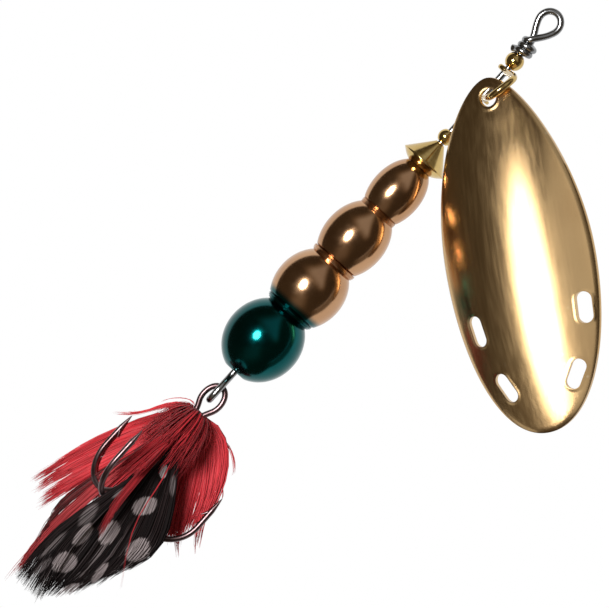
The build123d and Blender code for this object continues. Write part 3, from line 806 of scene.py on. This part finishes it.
# Name, node, finish, seed, and the plume's fans. Each fan is its edge curves (root, two places on the way,
# tip), count of fibres, stray, shortfall, half width, range of tone, and locks where it has them.
PLUMES = (
    ("plume_upper_left", "red_feather_upper_left", "red", 11, (
        ((((-0.7, 1.2, -56.3), (-3.9, 5.7, -59.8), (-6.4, 7.9, -65.5), (-8.5, 8.7, -72.9)),
          ((-0.4, 1.4, -57.2), (-3.5, 5.5, -61.6), (-5.9, 7.9, -67.2), (-8.0, 8.8, -73.0))),
         90, 0.16, 0.25, 0.07, (0.35, 0.9), 3),
        ((((-0.5, 1.3, -56.8), (-3.5, 5.5, -61.2), (-6.0, 7.9, -67.0), (-7.6, 8.7, -72.6)),
          ((-0.3, 1.4, -57.6), (-3.0, 5.3, -62.6), (-5.4, 7.8, -68.2), (-7.3, 8.9, -73.8))),
         110, 0.16, 0.25, 0.07, (0.45, 1.0), 2))),
    ("plume_lower_left", "red_feather_lower_left", "red", 12, (
        ((((-0.4, 1.4, -57.2), (-2.9, 5.0, -62.6), (-5.0, 7.6, -68.4), (-6.4, 8.7, -73.3)),
          ((-0.2, 1.2, -58.3), (-2.4, 4.3, -63.4), (-4.3, 6.9, -69.3), (-5.8, 8.7, -74.8))),
         210, 0.18, 0.3, 0.07, (0.35, 0.95), 4),)),
    ("plume_edge", "red_feather_edge", "wine", 13, (
        ((((-0.9, 1.8, -58.2), (-3.0, 4.2, -65.5), (-4.4, 4.7, -71.3), (-3.5, 3.9, -76.4)),
          ((-0.7, 1.7, -58.4), (-2.5, 4.0, -66.2), (-3.8, 4.4, -72.2), (-3.3, 3.7, -78.6))),
         70, 0.12, 0.2, 0.07, (0.0, 0.25)),
        ((((-0.8, 1.7, -58.4), (-2.5, 4.0, -66.0), (-3.6, 4.3, -73.4), (-3.1, 3.5, -81.2)),
          ((-0.5, 1.6, -58.6), (-1.7, 3.3, -66.0), (-2.6, 3.6, -73.5), (-2.6, 3.0, -80.4))),
         190, 0.14, 0.2, 0.075, (0.5, 0.95)),
        ((((-0.7, 1.6, -58.5), (-2.8, 3.9, -67.5), (-3.5, 3.9, -76.5), (-3.24, 3.2, -83.0)),
          ((-0.7, 1.6, -58.5), (-2.7, 3.8, -67.5), (-3.3, 3.7, -76.0), (-3.1, 3.2, -82.4))),
         5, 0.08, 0.1, 0.05, (0.7, 0.9)))),
    ("plume_wisp", "red_feather_wisp", "red", 14, (
        ((((-0.8, 0.4, -55.5), (-2.9, 1.6, -56.6), (-4.2, 2.3, -58.9), (-6.8, 2.9, -61.7)),
          ((-0.8, 0.7, -56.1), (-2.8, 1.7, -57.4), (-4.3, 2.4, -59.4), (-6.2, 2.9, -61.3))),
         28, 0.1, 0.3, 0.042, (0.4, 0.95), 2),
        ((((-0.7, 0.4, -55.2), (-1.8, 1.0, -55.2), (-3.0, 1.6, -56.2), (-3.75, 1.9, -57.5)),
          ((-0.7, 0.4, -55.3), (-1.8, 1.0, -55.3), (-3.0, 1.6, -56.3), (-3.7, 1.9, -57.5))),
         2, 0.05, 0.1, 0.035, (0.4, 0.6)))),
    ("plume_upper_right", "red_feather_upper_right", "red", 15, (
        ((((1.1, 1.3, -55.5), (4.7, 2.6, -56.2), (7.0, 3.1, -59.6), (8.0, 3.3, -63.6)),
          ((0.9, 1.4, -56.2), (3.9, 2.6, -58.9), (6.2, 3.2, -62.2), (7.5, 3.4, -65.6))),
         320, 0.2, 0.3, 0.085, (0.5, 1.0)),
        ((((1.0, 1.3, -55.8), (4.6, 2.6, -57.4), (7.2, 3.1, -61.6), (9.45, 3.3, -66.1)),
          ((0.9, 1.4, -56.2), (4.2, 2.6, -58.6), (6.8, 3.2, -63.0), (9.8, 3.4, -67.2))),
         60, 0.14, 0.3, 0.06, (0.5, 0.95), 2),
        ((((3.7, 2.9, -55.9), (5.3, 3.1, -56.1), (6.7, 3.1, -57.0), (7.45, 3.0, -58.3)),
          ((3.7, 2.9, -56.0), (5.1, 3.1, -56.3), (6.3, 3.1, -57.1), (7.1, 3.0, -57.9))),
         5, 0.08, 0.2, 0.04, (0.2, 0.5)),
        ((((6.4, 3.1, -59.2), (7.3, 3.1, -59.7), (7.95, 3.1, -60.3), (8.2, 3.0, -61.1)),
          ((6.4, 3.1, -59.3), (7.2, 3.1, -59.8), (7.8, 3.1, -60.4), (8.1, 3.0, -61.0))),
         3, 0.05, 0.2, 0.04, (0.2, 0.5)))),
    ("plume_right", "red_feather_right", "red", 16, (
        ((((0.9, 1.4, -56.2), (3.9, 2.6, -59.2), (6.1, 3.2, -62.9), (7.7, 3.4, -66.4)),
          ((0.6, 1.5, -57.8), (2.2, 2.3, -61.2), (4.1, 2.9, -64.7), (6.2, 3.2, -68.0))),
         360, 0.2, 0.14, 0.085, (0.35, 1.0)),
        ((((0.8, 1.6, -57.5), (3.4, 2.6, -61.5), (5.2, 3.2, -64.6), (7.3, 3.5, -66.7)),
          ((0.6, 1.6, -58.0), (2.4, 2.5, -62.0), (4.2, 3.1, -65.5), (6.3, 3.4, -68.2))),
         170, 0.2, 0.1, 0.085, (0.0, 0.45)),
        ((((0.9, 1.4, -56.4), (3.6, 2.6, -59.8), (6.0, 3.2, -64.0), (8.1, 3.4, -67.7)),
          ((0.7, 1.5, -57.0), (3.0, 2.5, -60.6), (5.4, 3.1, -65.0), (8.85, 3.3, -68.6))),
         60, 0.14, 0.3, 0.06, (0.45, 0.95), 3))),
    ("plume_back", "red_feather_back", "red", 17, (
        ((((-0.6, 1.5, -57.5), (-0.8, 4.4, -62.5), (-0.6, 6.4, -67.5), (-0.2, 7.4, -72.0)),
          ((0.6, 1.5, -57.5), (2.4, 4.4, -62.0), (3.6, 6.2, -67.0), (4.4, 7.2, -71.5))),
         240, 0.3, 0.3, 0.085, (0.2, 0.8)),
        ((((-0.6, 1.6, -58.0), (-1.9, 3.4, -62.2), (-2.9, 4.4, -66.0), (-3.3, 4.8, -70.6)),
          ((-0.3, 1.5, -58.4), (-0.8, 3.0, -63.0), (-1.2, 3.9, -66.6), (-1.5, 4.4, -70.0))),
         260, 0.2, 0.25, 0.08, (0.15, 0.8)))),
    ("plume_spotted_front", "spotted_feather_front", "spotted", 18, (
        ((((0.1, -1.2, -58.6), (-0.6, -4.4, -65.4), (-2.3, -4.9, -72.6), (-2.7, -4.0, -81.2)),
          ((0.4, -1.2, -58.6), (-0.2, -4.2, -66.2), (-0.7, -4.5, -73.4), (0.9, -4.0, -81.2))),
         400, 0.18, 0.14, 0.085, (0.0, 1.0), 16),)),
    ("plume_spotted_right", "spotted_feather_right", "spotted", 19, (
        ((((0.3, -1.1, -58.8), (-0.5, -3.2, -66.0), (-0.3, -3.4, -73.0), (0.4, -3.2, -81.0)),
          ((0.5, -1.1, -59.0), (1.6, -2.2, -65.0), (3.2, -2.4, -71.5), (2.9, -2.6, -78.6)),
          ((0.8, -1.0, -59.3), (3.6, -1.5, -63.0), (6.1, -1.3, -67.2), (5.9, -1.5, -71.8))),
         760, 0.18, 0.15, 0.095, (0.0, 1.0), 24),)),
    ("plume_spotted_back", "spotted_feather_back", "spotted", 20, (
        ((((-0.2, 1.1, -58.8), (-0.8, 2.4, -66.0), (-0.6, 2.9, -73.0), (0.4, 3.2, -79.4)),
          ((0.6, 1.1, -58.8), (2.2, 2.2, -64.6), (3.8, 2.6, -69.6), (4.4, 2.9, -74.0))),
         420, 0.2, 0.2, 0.09, (0.0, 1.0), 16),)),
)
# The ruff's longer hackle that lies over the dark feathers in front, and a few stray hairs
RUFF_FRONT = (
    ((((-0.5, -1.0, -57.2), (-1.3, -2.8, -60.2), (-1.9, -4.6, -63.4), (-2.4, -5.6, -67.0)),
      ((0.2, -1.2, -58.2), (-0.1, -3.2, -60.4), (-0.2, -4.9, -62.6), (-0.4, -5.6, -64.6))),
     170, 0.22, 0.3, 0.07, (0.2, 1.0)),
    ((((0.0, -1.2, -58.4), (-0.3, -3.8, -62.6), (-0.3, -5.3, -67.0), (0.5, -5.5, -71.6)),
      ((0.3, -1.2, -58.4), (0.2, -3.8, -63.0), (0.3, -5.3, -67.4), (1.3, -5.5, -72.2))),
     46, 0.1, 0.3, 0.06, (0.2, 0.7)),
    ((((0.3, -1.2, -58.4), (2.2, -3.2, -64.0), (3.0, -3.9, -68.2), (6.68, -3.6, -75.1)),
      ((0.3, -1.2, -58.4), (2.0, -3.2, -64.2), (2.8, -3.9, -68.4), (6.3, -3.6, -74.4))),
     3, 0.06, 0.1, 0.028, (0.7, 1.0)),
)


def ruff(count, seed, reach, half_w):
    """Hackle wound round the tie: fibres that leave the thread all round it, flare out and sweep back."""
    rng = np.random.default_rng(seed)
    a = rng.random(count) * 2 * np.pi
    start = -55.25 - 2.1 * rng.random(count)
    out = np.stack([np.cos(a), np.sin(a)], 1)
    long = reach * (0.45 + 0.55 * rng.random(count))
    flare = 0.75 + 0.9 * rng.random(count)

    def at(radius, drop):
        return np.column_stack([out * radius[:, None], start - drop])

    root = at(np.full(count, 0.92), np.zeros(count))
    first = at(0.95 + 0.75 * flare, 0.13 * long)
    second = at(0.95 + 1.3 * flare, 0.5 * long)
    tip = at(0.95 + 1.6 * flare, long) + rng.normal(0, 0.25, (count, 3))
    width = half_w * (0.6 + 0.8 * rng.random(count))
    shape = fibres(root, first, second, tip, width, RUFF_STEPS, np.column_stack([out, np.zeros(count)]))
    return shape, np.repeat(rng.random(count), RUFF_STEPS * 4)


# ---------------------------------------------------------------- settings

class SpinnerFinish(bpy.types.PropertyGroup):
    """Colours that someone may want to change, in linear values."""

    def shade(name, description, value):
        """A colour setting."""
        return FloatVectorProperty(
            name=name, description=description, default=value, size=3, min=0.0, max=1.0, subtype="COLOR"
        )

    blade_pale: shade("Blade, pale", "Lighter tone of the blade's metal", (0.66, 0.45, 0.22))
    blade_deep: shade("Blade, deep", "Darker tone of the blade's metal", (0.58, 0.38, 0.18))
    weight_pale: shade("Weight, pale", "Lighter tone of the weight's plating", (0.575, 0.335, 0.18))
    weight_deep: shade("Weight, deep", "Darker tone of the weight's plating", (0.48, 0.265, 0.138))
    brass_pale: shade("Brass, pale", "Lighter tone of the beads, clevis and cone", (0.72, 0.52, 0.20))
    brass_deep: shade("Brass, deep", "Darker tone of the beads, clevis and cone", (0.55, 0.38, 0.14))
    lacquer: shade("Lacquer", "The tail's lacquer", (0.001, 0.1, 0.102))
    hackle: shade("Hackle", "The red hackle's middle tone", (0.56, 0.026, 0.036))


class SpinnerSizes(bpy.types.PropertyGroup):
    """Sizes that someone may want to change."""

    def size(name, description, value, low, high):
        """A length setting, in metres."""
        return FloatProperty(
            name=name, description=description, default=value, min=low, max=high, unit="LENGTH", precision=5
        )

    shaft_wire: size("Shaft wire", "Radius of the shaft's wire", 0.000372, 0.0002, 0.0006)
    hook_wire: size("Hook wire", "Radius of the treble's wire", 0.00032, 0.0002, 0.0005)
    blade_thickness: size("Blade thickness", "Thickness of the blade's sheet", 0.00055, 0.0003, 0.001)
    blade_lip: size("Blade lips", "Height of the lips round the blade's slots", 0.00006, 0.0, 0.0003)
    blade_mesh: size("Blade mesh", "Spacing of the blade's inner points", 0.00042, 0.0003, 0.001)
    ruff_reach: size("Ruff reach", "Length of the longest fibres of the ruff", 0.0062, 0.002, 0.01)
    ruff_fibres: IntProperty(
        name="Ruff fibres", description="Number of fibres in the ruff", default=900, min=50, max=3000
    )


# ---------------------------------------------------------------- operators

class SPINNER_OT_shaft(bpy.types.Operator):
    """Make the shaft wire with its eye, wrap and tail loop"""

    bl_idname = "spinner.shaft"
    bl_label = "Shaft wire"

    def execute(self, context):
        pale, deep = (0.36, 0.365, 0.37), (0.24, 0.245, 0.25)
        steel = polished("steel_wire", pale, deep, (0.18, 0.25), lines=(1, 1, 0.1))
        shape = carried(shaft_path(), context.scene.spinner_sizes.shaft_wire / MM, 18)
        put("shaft_wire", shape, steel, "shaft", "wire_shaft")
        return {"FINISHED"}


class SPINNER_OT_beads(bpy.types.Operator):
    """Make the two small beads and the bearing cone"""

    bl_idname = "spinner.beads"
    bl_label = "Beads and cone"

    def execute(self, context):
        tones = context.scene.spinner_finish
        brass = polished("bead_brass", tuple(tones.brass_pale), tuple(tones.brass_deep), (0.1, 0.2))
        put("bead_upper", lathe(ball_profile(*UPPER_BEAD), 64), brass, "upper_bead", "top_bead", 50)
        put("bead_lower", lathe(ball_profile(*LOWER_BEAD), 64), brass, "lower_bead", "bearing_bead", 50)
        put("bearing_cone", lathe(cone_profile(), 128), brass, "cone", "cone", 40)
        return {"FINISHED"}


class SPINNER_OT_clevis(bpy.types.Operator):
    """Make the stirrup that carries the blade"""

    bl_idname = "spinner.clevis"
    bl_label = "Clevis"

    def execute(self, context):
        tones = context.scene.spinner_finish
        pale, deep = tuple(tones.brass_pale), tuple(tones.brass_deep)
        brass = polished("clevis_brass", pale, deep, (0.1, 0.22), 1100.0)
        put("clevis_stirrup", clevis_shape(), brass, "clevis", "clevis", 60)
        return {"FINISHED"}


class SPINNER_OT_blade(bpy.types.Operator):
    """Make the domed blade with its hole and slots"""

    bl_idname = "spinner.blade"
    bl_label = "Blade"

    def execute(self, context):
        sizes, tones = context.scene.spinner_sizes, context.scene.spinner_finish
        metal = blade_metal(tuple(tones.blade_pale), tuple(tones.blade_deep))
        shape = blade_shape(sizes.blade_thickness / MM, sizes.blade_lip / MM, sizes.blade_mesh / MM)
        put("blade_shell", shape, metal, "blade", "blade", 45)
        return {"FINISHED"}


class SPINNER_OT_weight(bpy.types.Operator):
    """Make the weight's four barrel beads, the last one lacquered"""

    bl_idname = "spinner.weight"
    bl_label = "Weight"

    def execute(self, context):
        tones = context.scene.spinner_finish
        bare = (tuple(tones.weight_pale), tuple(tones.weight_deep))
        lacquer = (tuple(tones.lacquer), scaled(tones.lacquer, 0.6))
        plain = polished("weight_plating", *bare, WEIGHT_GLOSS, 500.0)
        dipped = lacquered("weight_lacquer", bare, lacquer, -0.0404, -0.0396)
        for name, node, *sizes in BARRELS:
            metal = dipped if node in ("third_ball", "tail_ball") else plain
            put(name, lathe(barrel_profile(*sizes), 128), metal, "weight", node, 40)
        return {"FINISHED"}


class SPINNER_OT_treble(bpy.types.Operator):
    """Make the treble: two hooks and the eye from one wire, and the third hook"""

    bl_idname = "spinner.treble"
    bl_label = "Treble hook"

    def execute(self, context):
        radius = context.scene.spinner_sizes.hook_wire / MM
        nickel = polished("black_nickel", (0.20, 0.13, 0.135), (0.08, 0.05, 0.05), (0.28, 0.38), 1300.0)
        put("treble_pair", pair_shape(radius), nickel, "treble", "double_hook")
        put("treble_single", single_shape(radius), nickel, "treble", "third_hook")
        return {"FINISHED"}


class SPINNER_OT_tie(bpy.types.Operator):
    """Make the thread and the ruff of hackle over it"""

    bl_idname = "spinner.tie"
    bl_label = "Thread and ruff"

    def execute(self, context):
        sizes, tones = context.scene.spinner_sizes, context.scene.spinner_finish
        thread = dyed_fibre("tie_thread", (0.05, 0.004, 0.006), (0.12, 0.008, 0.01), (0.3, 0.02, 0.03))
        put("thread_winding", thread_shape(), thread, "treble", "whipping_thread")
        dye = dyed_fibre("hackle_deep", *(scaled(tones.hackle, share) for share in (0.28, 0.5, 0.85)))
        round_it, round_tone = ruff(sizes.ruff_fibres, 5, sizes.ruff_reach / MM, 0.08)
        ahead, ahead_tone = plume(RUFF_FRONT, 21)
        tone = np.concatenate([round_tone, ahead_tone])
        put("hackle_ruff", together([round_it, ahead]), dye, "treble", "hackle_collar", fibre=tone)
        return {"FINISHED"}


class SPINNER_OT_feathers(bpy.types.Operator):
    """Make the red and spotted feathers as fans of fibres"""

    bl_idname = "spinner.feathers"
    bl_label = "Feathers"

    def execute(self, context):
        middle = tuple(context.scene.spinner_finish.hackle)
        wine = ((0.035, 0.004, 0.004), (0.22, 0.014, 0.018), (0.52, 0.06, 0.065))
        spotted = ((0.004, 0.003, 0.003), (0.02, 0.011, 0.011), (0.31, 0.26, 0.26))
        finish = {
            "red": dyed_fibre("hackle_red", scaled(middle, 0.4), middle, (0.74, 0.075, 0.09)),
            "wine": dyed_fibre("hackle_wine", *wine),
            "spotted": spotted_fibre("feather_spotted", *spotted),
        }
        for name, node, style, seed, fans in PLUMES:
            shape, tone = plume(fans, seed)
            put(name, shape, finish[style], "treble", node, fibre=tone)
        return {"FINISHED"}


class SPINNER_OT_stage(bpy.types.Operator):
    """Set up the floor, lamps, surroundings and camera"""

    bl_idname = "spinner.stage"
    bl_label = "Stage"

    def execute(self, context):
        scene = context.scene
        self.floor()
        self.surroundings(scene)
        blade = bpy.data.objects["blade_shell"]
        for *lamp, state in LAMPS:
            self.choose(self.lamp(*lamp), blade, state)
        self.camera(scene)
        scene.view_settings.view_transform = "Standard"
        return {"FINISHED"}

    def floor(self):
        """A pale level floor, well below the lure, that keeps the shadows."""
        mesh = bpy.data.meshes.new("floor")
        turn = np.linspace(0, 2 * np.pi, 48, endpoint=False)
        rim = np.stack([FLOOR_R * np.cos(turn), FLOOR_R * np.sin(turn), np.full(48, FLOOR_HEIGHT)], 1)
        mesh.from_pydata(rim.tolist(), [], [tuple(range(48))])
        w = Wiring("floor")
        tone = w.ramp(w.noise(40.0), ((0.3, (0.78, 0.78, 0.78)), (0.7, (0.82, 0.82, 0.82))))
        mesh.materials.append(w.finish(Base_Color=tone, Roughness=0.9))
        obj = bpy.data.objects.new("floor", mesh)
        bpy.context.scene.collection.objects.link(obj)

    def lamp(self, name, size, toward, distance, power):
        """A soft oval light, in front of the lure at this place across and up, aimed at the lure's middle."""
        light = bpy.data.lights.new(name, "AREA")
        light.shape = "ELLIPSE"
        light.size, light.size_y = size
        light.energy = power
        obj = bpy.data.objects.new(name, light)
        side, up, back = (Vector(axis) for axis in VIEW)
        ahead = math.sqrt(1 - toward[0] ** 2 - toward[1] ** 2)
        away = side * toward[0] + up * toward[1] + back * ahead
        across = up.cross(away).normalized()
        turn = Matrix((across, away.cross(across), away)).transposed().to_4x4()
        obj.matrix_world = Matrix.Translation(Vector(LAMP_AIM) + away * distance) @ turn
        bpy.context.scene.collection.objects.link(obj)
        return obj

    def choose(self, lamp, obj, state):
        """Let the lamp light only this object, or everything but it, as a studio's cards and flags do."""
        group = bpy.data.collections.new(lamp.name + "_lights")
        group.objects.link(obj)
        group.collection_objects[0].light_linking.link_state = state
        lamp.light_linking.receiver_collection = group

    def surroundings(self, scene):
        """White to the camera. To the lure: pale walls behind it, and a dark room in front with a dim band
        and a thin line on the right, a soft wedge at the upper right and a soft pane at the lower left."""
        scene.world = bpy.data.worlds.new("studio")
        w = WorldWiring(scene.world)
        level, over, ahead = (w.along(axis) for axis in VIEW)
        front = w.step(ahead, -0.05, 0.15)
        dip = w.times(w.math("MINIMUM", over, 0.0), -0.33, w.step(level, -0.15, 0.35))
        edge = w.math("ADD", w.math("ADD", dip, w.times(level, 0.15)), -0.26)
        beyond = w.math("SUBTRACT", ahead, edge)
        light = w.step(beyond, -0.05, 0.03, 0.92, 0.06)
        broad = w.times(w.step(beyond, 0.0, 0.03), w.step(beyond, 0.2, 0.3, 1, 0), 0.14)
        thin = w.times(w.step(beyond, 0.27, 0.29), w.step(beyond, 0.32, 0.34, 1, 0), 0.4)
        strips = w.times(w.math("ADD", broad, thin), w.step(level, 0.15, 0.5))
        slope = w.math("ADD", level, w.times(over, 0.8))
        wedge = w.times(w.step(slope, 0.2, 0.7), w.step(level, 0.5, 0.75, 1, 0))
        wedge = w.times(wedge, w.step(over, -0.3, 0.0), w.step(over, 0.7, 0.98, 1, 0), front, 0.36)
        pane = w.times(w.band(level, -0.75, -0.1, 0.22), w.band(over, -0.75, -0.2, 0.22), front, 0.13)
        for part in (strips, wedge, pane):
            light = w.math("ADD", light, part)
        camera_ray = w.node("ShaderNodeLightPath").outputs["Is Camera Ray"]
        strength = w.node("ShaderNodeMix", {0: camera_ray, 2: light, 3: 1.0}).outputs[0]
        tint = w.mix(w.step(strength, 0.05, 0.4), (1, 0.8, 0.55), (1, 1, 1))
        shader = w.node("ShaderNodeBackground", {"Color": tint, "Strength": strength})
        w.node("ShaderNodeOutputWorld", {"Surface": shader.outputs[0]})

    def camera(self, scene):
        """A long lens level with the lure, rolled so that the shaft leans as a held lure does."""
        data = bpy.data.cameras.new("camera")
        data.lens = 400.0
        data.sensor_width = 36.0
        obj = bpy.data.objects.new("camera", data)
        place = (VIEW_MIDDLE[0], -VIEW_WIDTH * data.lens / data.sensor_width, VIEW_MIDDLE[1])
        obj.matrix_world = Matrix.Translation(place) @ Matrix(VIEW).transposed().to_4x4()
        scene.collection.objects.link(obj)
        scene.camera = obj


class SPINNER_PT_panel(bpy.types.Panel):
    """Spinner pieces, one button each"""

    bl_label = "Spinner"
    bl_idname = "SPINNER_PT_panel"
    bl_space_type = "VIEW_3D"
    bl_region_type = "UI"
    bl_category = "Spinner"

    def draw(self, context):
        layout = self.layout
        for group in (context.scene.spinner_sizes, context.scene.spinner_finish):
            for key in group.bl_rna.properties.keys():
                if key not in ("rna_type", "name"):
                    layout.prop(group, key)
        for operator in OPERATORS:
            layout.operator(operator.bl_idname)


OPERATORS = (
    SPINNER_OT_shaft, SPINNER_OT_beads, SPINNER_OT_clevis, SPINNER_OT_blade, SPINNER_OT_weight,
    SPINNER_OT_treble, SPINNER_OT_tie, SPINNER_OT_feathers, SPINNER_OT_stage,
)
CLASSES = (SpinnerSizes, SpinnerFinish, *OPERATORS, SPINNER_PT_panel)


def register():
    for cls in CLASSES:
        bpy.utils.register_class(cls)
    bpy.types.Scene.spinner_sizes = PointerProperty(type=SpinnerSizes)
    bpy.types.Scene.spinner_finish = PointerProperty(type=SpinnerFinish)


def unregister():
    del bpy.types.Scene.spinner_sizes
    del bpy.types.Scene.spinner_finish
    for cls in reversed(CLASSES):
        bpy.utils.unregister_class(cls)


def main():
    """Build every piece and the stage."""
    register()
    for operator in OPERATORS:
        family, name = operator.bl_idname.split(".")
        getattr(getattr(bpy.ops, family), name)()


if __name__ == "__main__":
    main()
